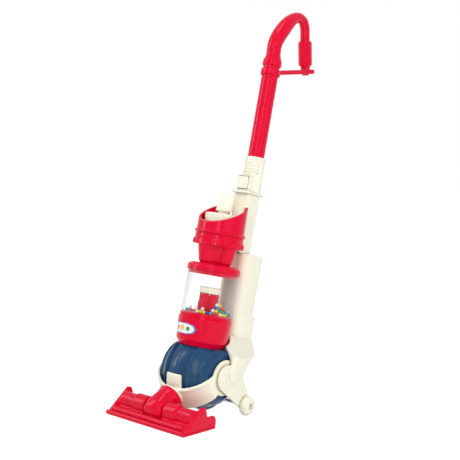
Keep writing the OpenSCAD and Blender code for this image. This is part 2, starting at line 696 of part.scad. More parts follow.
module hood() color(red) body_frame() difference() {
    on_bin() difference() {
        union() {
            translate([0, 0, belt_top]) cylinder(r1 = hood_r, r2 = hood_top_r, h = 70);
            translate([0, 0, ring_u]) rotate_extrude() translate([hood_r, 0]) circle(2.5);
        }
        translate([0, 0, belt_top - 1]) cylinder(r = hood_top_r - 2.2, h = 80);
    }
    translate([-60, bin_v - hood_r, hood_low]) rotate([rim_slope, 0, 0]) translate([0, -60, 0])
        cube([120, 220, 120]);
    translate([-60, hood_back, hood_tip]) cube([120, 80, 120]);
    back_flat();
}

// Neck post: platform inside the hood, flange, wand socket and latch housing
plat_v = -18.5;
plat_u = ring_u + 29;
plat_x = post_x - 0.5;
deck_x = 18;
deck_v = 12;
stem_x = 9;
stem_v0 = -10.5;
stem_v1 = -3.5;
button_travel = 4;
button_u = plat_u + button_travel + 0.6;
button_top = button_u + 27.5;
pocket_u = plat_u - 9;
sock_r = 16;
groove_v = 5.6;
latch_x = 9.5;
latch_u0 = socket_u + 3.2;
latch_u1 = latch_u0 + 19.6;
latch_v = 24.8;
latch_travel = 3;
latch_t = 4.7;
lug_v = 26.6;
socket_bore = wand_r + fit;
latch_seat = latch_v + latch_t + latch_travel + 0.4;
module post() color(ivory) body_frame() difference() {
    union() {
        translate([0, 0, spine_u]) linear_extrude(post_top - spine_u) plan_box(post_x, post_v0, post_v1, 4);
        translate([0, 0, belt_top]) linear_extrude(plat_u - belt_top)
            plan_box(plat_x, plat_v + 6, post_v0 + 6, 5);
        translate([0, 0, belt_top]) linear_extrude(plat_u - belt_top) plan_box(deck_x, plat_v, deck_v, 5);
        translate([0, 0, post_top]) linear_extrude(flange_t)
            plan_box(post_x + 2.4, 21, wand_v + sock_r + 1, 5);
        on_wand() translate([0, 0, socket_u])
            cylinder(r1 = sock_r, r2 = sock_r - 0.8, h = socket_top - socket_u);
        translate([0, 0, socket_u]) linear_extrude(latch_u1 - socket_u + 2)
            plan_box(latch_x + 2.4, lug_v, wand_v, 3);
    }
    on_wand() translate([0, 0, socket_u]) cylinder(r = socket_bore, h = wand_in + 10);
    translate([0, 0, spine_u - 1]) linear_extrude(post_top - spine_u + 1)
        plan_box(post_x - wall, post_v0 + wall, post_v1 - wall, 4 - wall/2);
    translate([0, 0, belt_top - 1]) linear_extrude(pocket_u - belt_top + 1 - wall)
        union() {
            plan_box(plat_x - wall, plat_v + 6 + wall, post_v0, 5 - wall);
            plan_box(deck_x - wall, plat_v + wall, deck_v - wall, 5 - wall);
        }
    on_wand() intersection() {
        for (i = [0 : 4]) translate([0, 0, socket_top - 6 - 4.6*i]) rotate_extrude()
            translate([sock_r + 0.1, 0]) circle(1.3);
        translate([-20, -20, socket_u]) cube([40, 20 - groove_v, socket_top - socket_u]);
    }
    translate([-stem_x - clear, stem_v0 - clear, pocket_u])
        cube([2*(stem_x + clear), stem_v1 - stem_v0 + 2*clear, 60]);
    translate([-latch_x - clear, lug_v - 10, latch_u0 - clear])
        cube([2*(latch_x + clear), latch_seat - lug_v + 10, latch_u1 - latch_u0 + 2*clear]);
}
// Paddle that leans back, on a stem that slides in the platform
module release_button() color(ivory) body_frame() {
    intersection() {
        across(-20, 20)
            polygon([[-12, button_u], [-5, button_top - 2.6], [-3.4, button_top], [1.6, button_top],
            [3.2, button_top - 2.2], [-2, button_u]]);
        along_v(-20, 20)
            polygon([[-13, button_u - 1], [13, button_u - 1], [9.4, button_top - 2.5], [7.6, button_top + 1],
            [-7.6, button_top + 1], [-9.4, button_top - 2.5]]);
    }
    translate([-stem_x, stem_v0, pocket_u + button_travel + 0.5])
        cube([2*stem_x, stem_v1 - stem_v0, button_u - pocket_u - button_travel + 1]);
}
module coil(r, h) {
    difference() { cylinder(r = r, h = h); translate([0, 0, -1]) cylinder(r = r - 0.8, h = h + 2); }
}
module release_spring() color(steel) body_frame() translate([0, (stem_v0 + stem_v1)/2, pocket_u])
    coil(3, button_travel + 0.5);
module latch_button() color(ivory) body_frame() translate([0, latch_v, 0])
    rotate([90, 0, 0]) mirror([0, 0, 1])
    linear_extrude(latch_t) plan_box(latch_x, latch_u0, latch_u1, 2.5);
module latch_spring() color(steel) body_frame() translate([0, latch_v + latch_t, (latch_u0 + latch_u1)/2])
    rotate([-90, 0, 0])
    coil(3, latch_seat - latch_v - latch_t);

// Wand and handle
wand_wall = 2.2;
wand_top = collar_u;
clamp_r = 15.4;
loop_r0 = 11.4;
loop_r1 = 12;
loop_tip = 8;
spigot = 14;
module wand() color(red) body_frame() on_wand() difference() {
    translate([0, 0, wand_bottom]) cylinder(r = wand_r, h = wand_top - wand_bottom);
    translate([0, 0, wand_bottom - 1]) cylinder(r = wand_r - wand_wall, h = wand_top - wand_bottom + 2);
}
module on_arm() { translate([0, arm_c.x, arm_c.y]) rotate([arm_slope, 0, 0]) children(); }
module arm() color(red) body_frame() difference() {
    union() {
        on_wand() translate([0, 0, clamp_u]) cylinder(r = clamp_r, h = clamp_h);
        on_arm() {
            translate([-6, wand_r - 4, -arm_t/2]) cube([12, arm_len - wand_r + 4, arm_t]);
            translate([0, arm_len, -arm_t/2]) cylinder(r = arm_end_r, h = arm_t);
            translate([0, 92.4, -arm_t/2 - 2.5]) cylinder(r = 5.5, h = 3);
        }
    }
    on_wand() translate([0, 0, clamp_u - 20]) cylinder(r = wand_r + fit, h = 60);
    on_arm() {
        for (x = [-6.6, 4.6]) translate([x, clamp_r + 6, -1.2]) cube([2, arm_len - clamp_r - 18, 2.4]);
        translate([0, 92.4, -20]) cylinder(r = screw_r + 0.1, h = 40);
        translate([0, 92.4, -20]) cylinder(r = 2*screw_r + 0.2, h = 20 - arm_t/2);
    }
}
module arm_screw() color(steel) body_frame() on_arm() translate([0, 92.4, arm_t/2 + 8]) rotate([180, 0, 0])
    pan_screw(screw_r, arm_t + 8, 2*screw_r);
module on_grip() { translate([0, grip_foot.x, grip_foot.y]) rotate([grip_a, 0, 0]) children(); }
module handle() color(red) body_frame() difference() {
    union() {
        on_wand() translate([0, 0, collar_u - spigot]) cylinder(r = wand_r - wand_wall - fit, h = spigot + 2);
        on_wand() translate([0, 0, collar_u]) rotate_extrude()
            polygon([[0, 0], [13.6, 0], [14.6, 1.2], [14.6, 9], [12.8, 14], [12.8, 15.5], [0, 15.5]]);
        cone_to([wand_v, collar_u + 8], loop_p1, loop_r0, loop_r1);
        translate([0, loop_p1.x, loop_p1.y]) sphere(r = loop_r1 + 0.5);
        cone_to(loop_p1, loop_p2, loop_r1 - 0.2, loop_r1 - 0.4);
        translate([0, loop_p2.x, loop_p2.y]) sphere(r = loop_r1 + 0.1);
        cone_to(loop_p2, loop_start, loop_r1 - 0.4, loop_tip);
        translate([0, loop_start.x, loop_start.y]) sphere(r = loop_tip + 0.5);
        translate([0, loop_c.x, loop_c.y]) rotate([90, 0, 90]) rotate([0, 0, grip_a])
            rotate_extrude(angle = 180 - loop_a - grip_a) translate([loop_r, 0]) circle(loop_tip);
        cone_to(loop_end + grip_dir, grip_foot, loop_tip - 0.2, loop_tip - 0.2);
    }
    on_arm() translate([-20, 60, -20]) cube([40, 60, 20 + arm_t/2]);
    on_arm() translate([0, 92.4, 0]) cylinder(r = screw_r + 0.1, h = arm_t/2 + 9);
}
module grip() color(red) body_frame() on_grip() difference() {
    union() {
        translate([0, 0, grip_tail + 2]) cylinder(r = grip_r, h = grip_len - 4, $fn = 10);
        translate([0, 0, grip_tail]) cylinder(r1 = loop_tip + 1, r2 = grip_r - 0.6, h = 2.01);
        translate([0, 0, grip_tail + grip_len - 2.01])
            cylinder(r1 = grip_r - 0.6, r2 = loop_tip + 1, h = 2.01);
    }
    translate([0, 0, grip_tail - 1]) cylinder(r = loop_tip - 0.2 + fit, h = grip_len + 2);
}

head_base();
head_cover();
head_screws();
elbow();
yoke();
ball_left();
ball_right();
ball_screws();
battery_tray();
battery_door();
door_screw();
cells();
cell_plates();
cell_springs();
spine_left();
spine_right();
spine_screws();
axle();
wheel_left();
wheel_right();
bowl();
motor();
impeller();
bin_floor();
bin_wall();
column();
column_cap();
beads_blue();
beads_green();
beads_yellow();
beads_white();
beads_red();
beads_sky();
collar();
cyclone();
hood();
post();
release_button();
release_spring();
latch_button();
latch_spring();
wand();
arm();
handle();
grip();
arm_screw();
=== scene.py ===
"""Toy upright vacuum cleaner on a ball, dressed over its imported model.

Lengths are metres in the row frame: front of the floor head towards -Y, up is +Z. Shapes made from formulas
are worked out in millimetres first.
"""
import json
import math

import bpy
import numpy as np
from mathutils import Matrix, Vector


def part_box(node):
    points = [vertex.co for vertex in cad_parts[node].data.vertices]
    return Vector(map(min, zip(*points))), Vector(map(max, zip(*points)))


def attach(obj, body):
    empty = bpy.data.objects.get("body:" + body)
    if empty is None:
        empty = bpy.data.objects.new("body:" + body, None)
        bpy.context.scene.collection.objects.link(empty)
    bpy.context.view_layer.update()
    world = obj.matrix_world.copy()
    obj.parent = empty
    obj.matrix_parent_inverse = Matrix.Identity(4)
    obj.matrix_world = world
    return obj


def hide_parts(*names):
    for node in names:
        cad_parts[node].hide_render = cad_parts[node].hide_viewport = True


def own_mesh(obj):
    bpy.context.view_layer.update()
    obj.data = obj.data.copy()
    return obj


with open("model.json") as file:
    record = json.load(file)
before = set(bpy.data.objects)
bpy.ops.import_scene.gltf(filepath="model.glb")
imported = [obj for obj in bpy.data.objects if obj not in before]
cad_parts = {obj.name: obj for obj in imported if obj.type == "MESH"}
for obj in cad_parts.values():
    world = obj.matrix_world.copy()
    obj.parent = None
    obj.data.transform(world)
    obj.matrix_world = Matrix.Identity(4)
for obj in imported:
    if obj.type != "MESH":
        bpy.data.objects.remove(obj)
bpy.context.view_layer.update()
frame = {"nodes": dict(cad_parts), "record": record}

# The leaning body frame: x across, v behind the hub line, u along the body, all in millimetres.
LEAN = math.radians(10.5)
HUB = np.array([0.0, -63.935, 61.0])
X_AXIS = np.array([1.0, 0.0, 0.0])
V_AXIS = np.array([0.0, math.cos(LEAN), -math.sin(LEAN)])
U_AXIS = np.array([0.0, math.sin(LEAN), math.cos(LEAN)])


# Camera and light

AZIMUTH, ELEVATION, ROLL = (math.radians(a) for a in (39.4, 5.4, 3.2))
TARGET = Vector((0.0446, -0.063935, 0.278))
DISTANCE = 1.446
FOCAL_PIXELS, PHOTO_PIXELS, SENSOR_WIDTH = 1002.6, 460, 36
WORLD_AS_LIGHT, WORLD_AS_SEEN = 0.27, 1.0
FLOOR_HALF, FLOOR_GREY, FLOOR_GLOW = 9.0, 0.86, 0.78


def add_camera():
    """Camera on a circle round the target: azimuth from the front, elevation above the floor, then roll."""
    level = math.cos(ELEVATION)
    back = Vector((math.sin(AZIMUTH) * level, -math.cos(AZIMUTH) * level, math.sin(ELEVATION)))
    right = Vector((math.cos(AZIMUTH), math.sin(AZIMUTH), 0))
    up = back.cross(right)
    c, s = math.cos(ROLL), math.sin(ROLL)
    right, up = c * right + s * up, c * up - s * right
    data = bpy.data.cameras.new("photo_camera")
    data.sensor_width = SENSOR_WIDTH
    data.lens = FOCAL_PIXELS / PHOTO_PIXELS * SENSOR_WIDTH
    camera = bpy.data.objects.new("photo_camera", data)
    turn = Matrix((right, up, back)).transposed().to_4x4()
    camera.matrix_world = Matrix.Translation(TARGET + DISTANCE * back) @ turn
    bpy.context.scene.collection.objects.link(camera)
    bpy.context.scene.camera = camera


def add_softbox(name, place, aim, size, power, mirrored=True):
    """Area lamp at place, turned to face aim.

    One that isn't mirrored lights the object but shows in no reflection.
    """
    data = bpy.data.lights.new(name, "AREA")
    data.shape = "RECTANGLE"
    data.size, data.size_y = size
    data.energy = power
    lamp = bpy.data.objects.new(name, data)
    lamp.location = place
    lamp.visible_glossy = mirrored
    lamp.rotation_euler = (Vector(aim) - Vector(place)).to_track_quat("-Z", "Y").to_euler()
    bpy.context.scene.collection.objects.link(lamp)


def link_nodes(tree, *pairs):
    """Joins output sockets to input sockets, given as pairs."""
    for source, target in pairs:
        tree.links.new(source, target)


def math_node(tree, operation, second=0.5):
    """Math node of one operation, with its second input set."""
    node = tree.nodes.new("ShaderNodeMath")
    node.operation = operation
    node.inputs[1].default_value = second
    return node


def map_range(tree, low, high):
    """Map Range node whose results run from low to high."""
    node = tree.nodes.new("ShaderNodeMapRange")
    node.inputs["To Min"].default_value, node.inputs["To Max"].default_value = low, high
    return node


def colour_mix(tree, **colours):
    """Mix node of colours A and B, each set where it is given."""
    node = tree.nodes.new("ShaderNodeMix")
    node.data_type = "RGBA"
    for socket, colour in colours.items():
        node.inputs[socket].default_value = (*colour, 1)
    return node


def new_paint(name):
    """New material, with its node tree and its Principled shader."""
    paint = bpy.data.materials.new(name)
    paint.use_nodes = True
    return paint, paint.node_tree, paint.node_tree.nodes["Principled BSDF"]


def rays_that_see(tree):
    """One for a ray from the camera, from a mirror or through glass, and nothing for any other."""
    path = tree.nodes.new("ShaderNodeLightPath")
    seen = path.outputs["Is Camera Ray"]
    for kind in ("Is Glossy Ray", "Is Transmission Ray"):
        either = math_node(tree, "MAXIMUM")
        link_nodes(tree, (seen, either.inputs[0]), (path.outputs[kind], either.inputs[1]))
        seen = either.outputs[0]
    return seen


def add_world():
    """Even white surroundings: full white where they are seen, also in mirrors and glass, softer as light."""
    world = bpy.data.worlds.new("white_room")
    bpy.context.scene.world = world
    world.use_nodes = True
    tree = world.node_tree
    back = tree.nodes["Background"]
    back.inputs["Color"].default_value = (1, 1, 1, 1)
    level = map_range(tree, WORLD_AS_LIGHT, WORLD_AS_SEEN)
    link_nodes(tree, (rays_that_see(tree), level.inputs["Value"]),
               (level.outputs[0], back.inputs["Strength"]))


def add_floor():
    """Pale floor: a diffuse sheet that keeps the shadow, with white added where it is seen."""
    mesh = bpy.data.meshes.new("pale_floor")
    corners = [(FLOOR_HALF * x, FLOOR_HALF * y, 0) for x, y in ((-1, -1), (1, -1), (1, 1), (-1, 1))]
    mesh.from_pydata(corners, [], [(0, 1, 2, 3)])
    floor = bpy.data.objects.new("pale_floor", mesh)
    bpy.context.scene.collection.objects.link(floor)
    paint, tree, shader = new_paint("pale_floor")
    tree.nodes.remove(shader)
    matt = tree.nodes.new("ShaderNodeBsdfDiffuse")
    matt.inputs["Color"].default_value = (FLOOR_GREY, FLOOR_GREY, FLOOR_GREY, 1)
    glow = tree.nodes.new("ShaderNodeEmission")
    lift = math_node(tree, "MULTIPLY", FLOOR_GLOW)
    both = tree.nodes.new("ShaderNodeAddShader")
    link_nodes(tree, (rays_that_see(tree), lift.inputs[0]), (lift.outputs[0], glow.inputs["Strength"]),
               (matt.outputs[0], both.inputs[0]), (glow.outputs[0], both.inputs[1]),
               (both.outputs[0], tree.nodes["Material Output"].inputs["Surface"]))
    mesh.materials.append(paint)


# Finishes

PLASTIC_IOR, WALL_IOR = 1.5, 1.3
PLASTIC_GRAIN = 0.8
NOISE_LOW, NOISE_HIGH = 0.3, 0.7
RELIEF_DEPTH = 0.001
# Reach of the painted shade that ambient occlusion lays into grooves and corners.
PAINTED_SHADE_REACH = 0.005
BEAD_DEEP = 0.85


def moulding_group():
    """Skin of a moulded plastic: slow blotches of tone, and a height that mixes them with a fine grain."""
    group = bpy.data.node_groups.new("moulding", "ShaderNodeTree")
    sockets = group.interface
    sockets.new_socket("Vector", in_out="INPUT", socket_type="NodeSocketVector")
    for name, value in (("Blotch Scale", 18.0), ("Grain Scale", 900.0), ("Grain Share", 0.3)):
        sockets.new_socket(name, in_out="INPUT", socket_type="NodeSocketFloat").default_value = value
    for name in ("Blotch", "Height"):
        sockets.new_socket(name, in_out="OUTPUT", socket_type="NodeSocketFloat")
    start, end = group.nodes.new("NodeGroupInput"), group.nodes.new("NodeGroupOutput")
    blotch, grain = group.nodes.new("ShaderNodeTexNoise"), group.nodes.new("ShaderNodeTexNoise")
    blotch.inputs["Detail"].default_value = 3
    grain.inputs["Detail"].default_value = 2
    mix = group.nodes.new("ShaderNodeMix")
    for noise, scale, side in ((blotch, "Blotch Scale", "A"), (grain, "Grain Scale", "B")):
        link_nodes(group, (start.outputs["Vector"], noise.inputs["Vector"]),
                   (start.outputs[scale], noise.inputs["Scale"]), (noise.outputs["Fac"], mix.inputs[side]))
    link_nodes(group, (start.outputs["Grain Share"], mix.inputs["Factor"]),
               (blotch.outputs["Fac"], end.inputs["Blotch"]), (mix.outputs["Result"], end.inputs["Height"]))
    return group


MOULDING = moulding_group()


def add_skin(tree, place, socket, value):
    """The moulding group laid out by the coordinates of place, with one of its sockets set."""
    skin = tree.nodes.new("ShaderNodeGroup")
    skin.node_tree = MOULDING
    skin.inputs[socket].default_value = value
    link_nodes(tree, (place, skin.inputs["Vector"]))
    return skin


def plastic(name, light, deep, rough=(0.2, 0.3), bump=0.03, round_edge=0.0008, shine=0.25, painted_shade=None):
    """Moulded plastic: tone drifts between two colours, roughness follows the blotches, edges are eased.

    A painted shade colour, if given, darkens grooves and corners by how much of the near sky they lose: shade
    painted into the base colour by ambient occlusion.
    """
    paint, tree, shader = new_paint(name)
    place = tree.nodes.new("ShaderNodeTexCoord")
    skin = add_skin(tree, place.outputs["Object"], "Grain Share", PLASTIC_GRAIN)
    tone = colour_mix(tree, A=deep, B=light)
    gloss = map_range(tree, *rough)
    gloss.inputs["From Min"].default_value, gloss.inputs["From Max"].default_value = NOISE_LOW, NOISE_HIGH
    relief = tree.nodes.new("ShaderNodeBump")
    relief.inputs["Strength"].default_value = bump
    relief.inputs["Distance"].default_value = RELIEF_DEPTH
    rounded = tree.nodes.new("ShaderNodeBevel")
    rounded.samples = 6
    rounded.inputs["Radius"].default_value = round_edge
    shader.inputs["Specular IOR Level"].default_value = shine
    shader.inputs["IOR"].default_value = PLASTIC_IOR
    colour = tone.outputs["Result"]
    # Painted shade: ambient occlusion darkens the base colour in grooves and corners.
    if painted_shade:
        shade_occlusion = tree.nodes.new("ShaderNodeAmbientOcclusion")
        shade_occlusion.samples = 8
        shade_occlusion.inputs["Distance"].default_value = PAINTED_SHADE_REACH
        painted_shade_mix = colour_mix(tree, A=painted_shade)
        link_nodes(tree, (shade_occlusion.outputs["AO"], painted_shade_mix.inputs["Factor"]), (colour, painted_shade_mix.inputs["B"]))
        colour = painted_shade_mix.outputs["Result"]
    link_nodes(tree, (skin.outputs["Blotch"], tone.inputs["Factor"]), (colour, shader.inputs["Base Color"]),
               (skin.outputs["Blotch"], gloss.inputs["Value"]),
               (gloss.outputs[0], shader.inputs["Roughness"]),
               (skin.outputs["Height"], relief.inputs["Height"]),
               (rounded.outputs[0], relief.inputs["Normal"]), (relief.outputs[0], shader.inputs["Normal"]))
    return paint


def clear_plastic():
    """Clear bin wall: a thin glossy sheet, all but unseen face on and greyer where it is seen at a slant."""
    paint, tree, shader = new_paint("clear_plastic")
    shader.inputs["Base Color"].default_value = (0.6, 0.62, 0.63, 1)
    shader.inputs["IOR"].default_value = WALL_IOR
    shader.inputs["Roughness"].default_value = 0.06
    slant = tree.nodes.new("ShaderNodeLayerWeight")
    slant.inputs["Blend"].default_value = 0.12
    veil = map_range(tree, 0.012, 0.85)
    link_nodes(tree, (slant.outputs["Facing"], veil.inputs["Value"]),
               (veil.outputs[0], shader.inputs["Alpha"]))
    return paint


def plated_steel():
    """Zinc-plated steel: tone drifts in small blotches, and roughness follows them and a fine grain."""
    paint, tree, shader = new_paint("plated_steel")
    shader.inputs["Metallic"].default_value = 1.0
    place = tree.nodes.new("ShaderNodeTexCoord")
    skin = add_skin(tree, place.outputs["Object"], "Blotch Scale", 300.0)
    tone = colour_mix(tree, A=(0.5, 0.5, 0.51), B=(0.72, 0.72, 0.74))
    gloss = map_range(tree, 0.22, 0.42)
    link_nodes(tree, (skin.outputs["Blotch"], tone.inputs["Factor"]),
               (tone.outputs["Result"], shader.inputs["Base Color"]),
               (skin.outputs["Height"], gloss.inputs["Value"]),
               (gloss.outputs[0], shader.inputs["Roughness"]))
    return paint


FINISH = {
    "red_plastic": plastic("red_plastic", (0.75, 0.0008, 0.034), (0.71, 0.0007, 0.03), rough=(0.15, 0.19),
                           bump=0.0015, shine=0.13, round_edge=0.0002),
    # Ivory carries a painted shade colour, darker in its grooves and corners.
    "ivory_plastic": plastic("ivory_plastic", (0.91, 0.895, 0.745), (0.885, 0.865, 0.705), rough=(0.34, 0.44),
                             shine=0.3, round_edge=0.0018, painted_shade=(0.46, 0.42, 0.28)),
    "blue_plastic": plastic("blue_plastic", (0.012, 0.064, 0.155), (0.009, 0.052, 0.13), rough=(0.16, 0.22),
                            bump=0.002, shine=0.2),
    "dark_plastic": plastic("dark_plastic", (0.03, 0.03, 0.034), (0.02, 0.02, 0.024), rough=(0.45, 0.6)),
    "clear_plastic": clear_plastic(),
    "steel": plated_steel(),
    "cell_jacket": plastic("cell_jacket", (0.5, 0.3, 0.07), (0.42, 0.24, 0.05), rough=(0.25, 0.35)),
}
for bead, light in (("blue", (0.02, 0.10, 0.42)), ("green", (0.03, 0.36, 0.07)),
                    ("yellow", (0.95, 0.72, 0.05)), ("white", (0.9, 0.9, 0.88)),
                    ("red", (0.85, 0.06, 0.02)), ("sky", (0.09, 0.36, 0.62))):
    FINISH["bead_" + bead] = plastic("bead_" + bead, light, tuple(BEAD_DEEP * c for c in light),
                                     bump=0.004, round_edge=0.0002)


SLOT_OF = {entry["node"]: entry["material_slot"] for entry in frame["record"]["subparts"]}
BODY_OF = {node: body for body, nodes in frame["record"]["behaviour"]["bodies"].items() for node in nodes}


def dress_nodes():
    """Gives each node of the model the finish of its slot in the record."""
    for node, slot in SLOT_OF.items():
        mesh = frame["nodes"][node].data
        mesh.materials.clear()
        mesh.materials.append(FINISH[slot])


# Shapes

def body_points(x, v, u):
    """Millimetres of the body frame to metres of the row frame: hub plus x across, v behind and u along."""
    x, v, u = np.broadcast_arrays(x, v, u)
    return (HUB + x[..., None] * X_AXIS + v[..., None] * V_AXIS + u[..., None] * U_AXIS) / 1000


def full_turn(count):
    """Angles of one whole turn in even steps, the last one short of the first."""
    return np.linspace(0, 2 * np.pi, count, endpoint=False)


def ease(t):
    """Smooth step from 0 to 1: three t squared less two t cubed, held outside the range."""
    t = np.clip(t, 0, 1)
    return t * t * (3 - 2 * t)


def rounded_ring(angle, power):
    """Superellipse of half width one: each of cosine and sine raised to two over the power, sign kept."""
    c, q = np.cos(angle), np.sin(angle)
    return np.sign(c) * np.abs(c) ** (2 / power), np.sign(q) * np.abs(q) ** (2 / power)


def spline(knots, values, at):
    """Natural cubic spline through values at knots: second slopes by a tridiagonal system, then the cubic."""
    knots, values, at = (np.asarray(a, float) for a in (knots, values, at))
    step = np.diff(knots)
    n = len(knots)
    system, right = np.eye(n), np.zeros(n)
    inner = np.arange(1, n - 1)
    system[inner, inner - 1] = step[:-1]
    system[inner, inner] = 2 * (step[:-1] + step[1:])
    system[inner, inner + 1] = step[1:]
    right[inner] = 6 * (np.diff(values)[1:] / step[1:] - np.diff(values)[:-1] / step[:-1])
    bend = np.linalg.solve(system, right)
    i = np.clip(np.searchsorted(knots, at) - 1, 0, n - 2)
    h, a, b = step[i], knots[i + 1] - at, at - knots[i]
    return (bend[i] * a**3 + bend[i + 1] * b**3) / (6 * h) + (values[i] / h - bend[i] * h / 6) * a \
        + (values[i + 1] / h - bend[i + 1] * h / 6) * b


def ring_quads(rows, cols, first):
    """Quads between the rows of a grid whose columns close round, its points numbered from first."""
    r, c = np.meshgrid(np.arange(rows - 1), np.arange(cols), indexing="ij")
    r1, c1 = r + 1, (c + 1) % cols
    return (first + np.stack([r * cols + c, r * cols + c1, r1 * cols + c1, r1 * cols + c], -1)).reshape(-1, 4)


def make_piece(name, grids, finish, body, stands_for=()):
    """One mesh object from closed-round grids (rows along, columns round), each end row closed by a fan."""
    points, quads, tris, first = [], [], [], 0
    for grid in grids:
        rows, cols = grid.shape[:2]
        ends = np.stack([grid[0].mean(0), grid[-1].mean(0)])
        points += [grid.reshape(-1, 3), ends]
        quads.append(ring_quads(rows, cols, first))
        c = np.arange(cols)
        c1, top = (c + 1) % cols, first + rows * cols
        tris.append(np.stack([np.full(cols, top), first + c1, first + c], -1))
        last = first + (rows - 1) * cols
        tris.append(np.stack([np.full(cols, top + 1), last + c, last + c1], -1))
        first += rows * cols + 2
    mesh = bpy.data.meshes.new(name)
    faces = np.concatenate(quads).tolist() + np.concatenate(tris).tolist()
    mesh.from_pydata(np.concatenate(points).tolist(), [], faces)
    mesh.shade_smooth()
    mesh.materials.append(finish)
    piece = bpy.data.objects.new(name, mesh)
    bpy.context.scene.collection.objects.link(piece)
    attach(piece, body)
    if stands_for:
        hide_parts(*stands_for)
    return piece


def directions(path):
    """Unit tangents of a path, from the differences between its points."""
    along = np.gradient(path, axis=0)
    return along / np.linalg.norm(along, axis=1)[:, None]


def tube(path, radius, turns=48):
    """Round profile carried along a path of the side view: each ring lies across the path's tangent."""
    along = directions(path)
    normal = np.stack([along[:, 1], -along[:, 0]], -1)
    angle = full_turn(turns)
    out, x = radius[:, None] * np.cos(angle), radius[:, None] * np.sin(angle)
    return body_points(-x, path[:, :1] + out * normal[:, :1], path[:, 1:] + out * normal[:, 1:])


def turned(profile, axis_v, turns=64):
    """Profile of radius against height, turned about a line along the body at axis_v."""
    r, u = (column[:, None] for column in np.asarray(profile, float).T)
    angle = full_turn(turns)
    return body_points(r * np.cos(angle), axis_v + r * np.sin(angle), u + 0 * angle)


# Moulded copies of solids: size of net, gap that is welded, reach of a seam and the share of it held fast.
NET_SIZE, WELD_GAP = 0.0009, 1e-6
SEAM, SEAM_FAST = 0.0012, 0.4


def settle(points, pairs, free, passes):
    """Evens a mesh: each pass moves a point half way to the mean of those joined to it, times its freedom."""
    a, b = pairs.T
    size = len(points)
    count = np.bincount(pairs.ravel(), minlength=size)[:, None]
    for _ in range(passes):
        total = np.stack([np.bincount(a, p[b], size) + np.bincount(b, p[a], size) for p in points.T], -1)
        points = points + 0.5 * free[:, None] * (total / count - points)
    return points


def mould(node, passes, seam=0.0):
    """Moulded form of a node: its solid on an even net, then settled, so that edges and corners are rounded.

    With a seam, points on the middle plane stay and those near it move less, so that two halves still meet.
    """
    source = frame["nodes"][node]
    mesh = source.data.copy()
    piece = bpy.data.objects.new(node + "_moulded", mesh)
    bpy.context.scene.collection.objects.link(piece)
    weld = piece.modifiers.new("weld", "WELD")
    weld.merge_threshold = WELD_GAP
    net = piece.modifiers.new("net", "REMESH")
    net.mode = "VOXEL"
    net.voxel_size = NET_SIZE
    done = bpy.data.meshes.new_from_object(piece.evaluated_get(bpy.context.evaluated_depsgraph_get()))
    piece.modifiers.clear()
    piece.data = done
    points, pairs = np.empty(3 * len(done.vertices)), np.empty(2 * len(done.edges), int)
    done.vertices.foreach_get("co", points)
    done.edges.foreach_get("vertices", pairs)
    points, pairs = points.reshape(-1, 3), pairs.reshape(-1, 2)
    free = np.clip(np.abs(points[:, 0]) / seam - SEAM_FAST, 0, 1) if seam else np.ones(len(points))
    done.vertices.foreach_set("co", settle(points, pairs, free, passes).ravel())
    done.name = piece.name
    done.shade_smooth()
    done.materials.clear()
    done.materials.append(FINISH[SLOT_OF[node]])
    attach(piece, BODY_OF[node])
    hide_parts(node)


# Handle: the wand's line, the collar's foot and the grip's foot.
WAND_V = 47.0
COLLAR_U = 478.5
GRIP_FOOT = np.array([135.69, 494.43])


def add_handle():
    """Loop handle: one tube whose centre line and radius are splines through stations, on a turned collar.

    A station is v, u and radius; a point of the collar is radius and height above its foot.
    """
    stations = np.array([[46.9, 485, 11.6], [46.4, 496, 11.2], [45.4, 511, 11.3], [50.2, 526, 11.9],
                         [58.6, 540, 12.0], [68.6, 553.4, 11.1], [81.0, 565.2, 9.2], [95.0, 571.2, 8.1],
                         [106.6, 569.2, 7.8], [114.0, 561.6, 7.6], [118.0, 550.2, 7.6], [124.6, 529.4, 7.6],
                         [*(GRIP_FOOT + (-1.1, 3.6)), 7.6]])
    spans = np.linalg.norm(np.diff(stations[:, :2], axis=0), axis=1)
    length = np.concatenate([[0], np.cumsum(spans)])
    at = np.linspace(0, length[-1], 150)
    path = np.stack([spline(length, stations[:, k], at) for k in (0, 1)], -1)
    loop = tube(path, spline(length, stations[:, 2], at))
    profile = ((10.5, -8), (10.5, 0), (13.4, 0), (14.3, 0.5), (14.8, 1.6), (14.9, 4), (14.7, 7.5), (14.1, 10),
               (13.2, 12), (12.3, 14), (11.8, 16.5), (11.0, 18))
    collar = turned([(r, COLLAR_U + rise) for r, rise in profile], WAND_V)
    make_piece("handle_loop", [loop, collar], FINISH["red_plastic"], "wand", ["handle"])


# Bin and cyclone: the bin's line, the lobes' turn, the core's and belt's heights, the belt's radius, the slot
# for the post and the ledge below the belt.
BIN_V = -6.5
LOBE_TURN = math.radians(-6)
CYC_U, BELT_U, BELT_TOP, BELT_R = 161.0, 188.0, 205.0, 36.6
SLOT_HALF, SLOT_BELOW, SLOT_V = 14.6, 3.2, 13.3
LEDGE = 0.3


def lobe_angle(angle):
    """Angle from the nearest of four lobes, between minus and plus 45 degrees."""
    return (angle - LOBE_TURN + np.pi / 4) % (np.pi / 2) - np.pi / 4


def cyclone_core(angle, u):
    """Core radius: the soft greater of a flat panel between lobes and a round lobe that leans out.

    The panel is cut off at its corners, and the foot is drawn in.
    """
    t = (u - CYC_U) / (BELT_U - CYC_U)
    off = lobe_angle(angle)
    flat, corner = 20.8 + 5.2 * t, 27.2 + 5.6 * t
    panel = np.minimum(flat / np.cos(np.pi / 4 - np.abs(off)), corner)
    centre, radius = 18 + 5.4 * t, 11.2 + 1.6 * t
    inside = radius**2 - (centre * np.sin(off)) ** 2
    lobe = np.where(inside > 0, centre * np.cos(off) + np.sqrt(np.maximum(inside, 0)), 0)
    soft, foot_inset, foot_height = 0.35, 2.2, 5
    foot = foot_inset * (1 - ease((u - CYC_U) / foot_height)) ** 2
    return soft * np.logaddexp(panel / soft, lobe / soft) - foot


